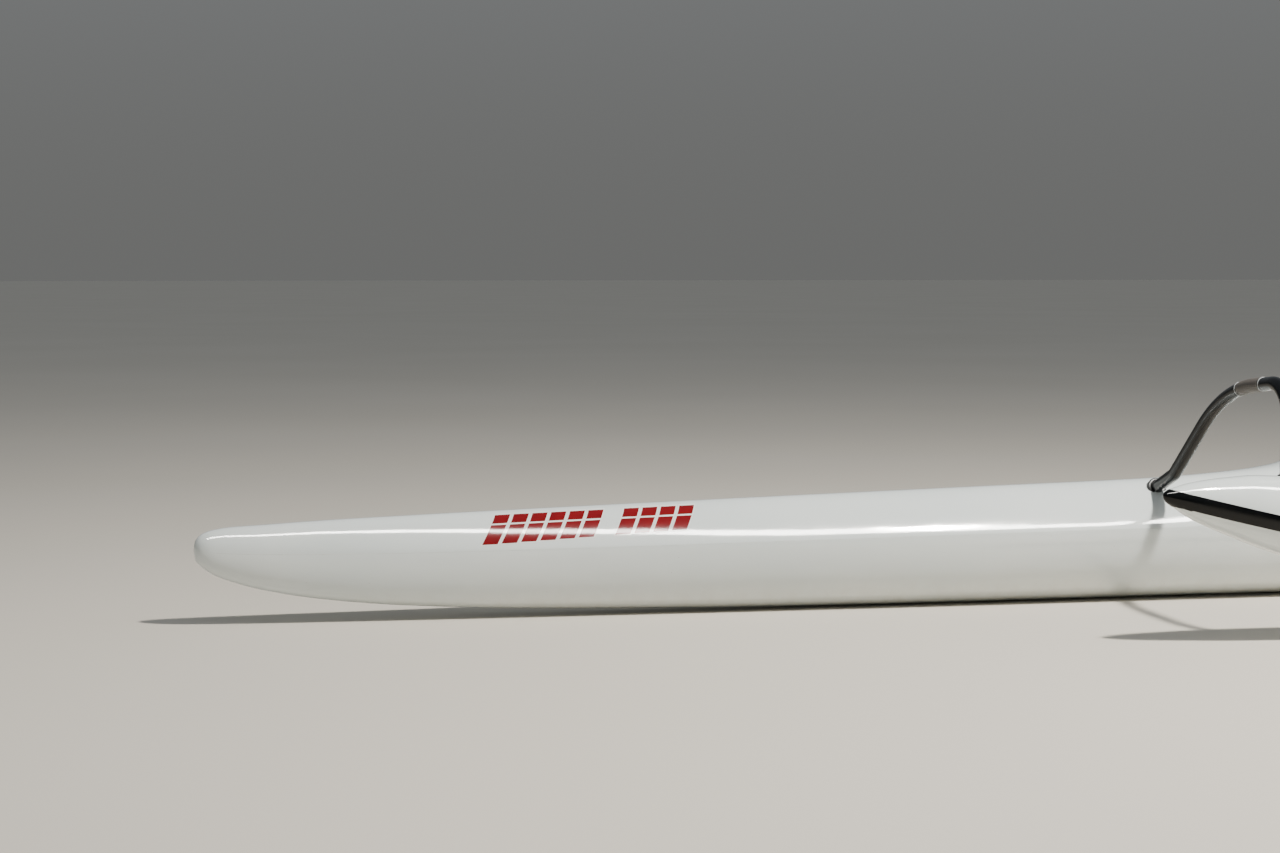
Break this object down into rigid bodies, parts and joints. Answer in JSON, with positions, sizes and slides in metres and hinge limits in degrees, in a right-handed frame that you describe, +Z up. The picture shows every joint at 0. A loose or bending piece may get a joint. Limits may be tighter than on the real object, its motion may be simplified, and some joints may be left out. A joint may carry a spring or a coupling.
{
  "type": "single-seat outrigger canoe",
  "caption": "Narrow decked paddling canoe with an open cockpit, a float carried on its port side by bent tube booms, and no rudder.",
  "frame": {"origin": "on the floor, under the middle of the whole canoe's box", "axes": "+X towards the bow, +Y to port, the float's side, +Z up"},
  "size_m": [7.4, 1.1462, 0.6911],
  "materials": {
    "gelcoat": "glossy white gelcoat over laminate",
    "boom_paint": "satin black paint on alloy tube",
    "edge_rubber": "matt black rubber",
    "black_plastic": "moulded black plastic",
    "seat_foam": "closed-cell foam",
    "rail_alloy": "satin anodised",
    "seam_tape": "glossy black vinyl tape"
  },
  "bodies": {
    "root": {"hull_moulding": "gelcoat", "fore_deck": "gelcoat", "cockpit_deck": "gelcoat", "aft_deck": "gelcoat", "cockpit_rim": "edge_rubber", "front_bulkhead": "gelcoat", "rear_bulkhead": "gelcoat", "front_bulkhead_vent": "black_plastic", "rear_bulkhead_vent": "black_plastic", "seat_pedestal": "gelcoat", "seat_pad": "seat_foam", "foot_rail_port": "rail_alloy", "foot_rail_starboard": "rail_alloy", "foot_brace": "black_plastic", "front_boom": "boom_paint", "front_boom_collar": "edge_rubber", "front_boom_float_seal": "edge_rubber", "rear_boom": "boom_paint", "rear_boom_collar": "edge_rubber", "rear_boom_float_seal": "edge_rubber", "float_upper": "gelcoat", "float_lower": "gelcoat", "float_seam_tape": "seam_tape", "float_vent": "black_plastic"}
  },
  "joints": []
}
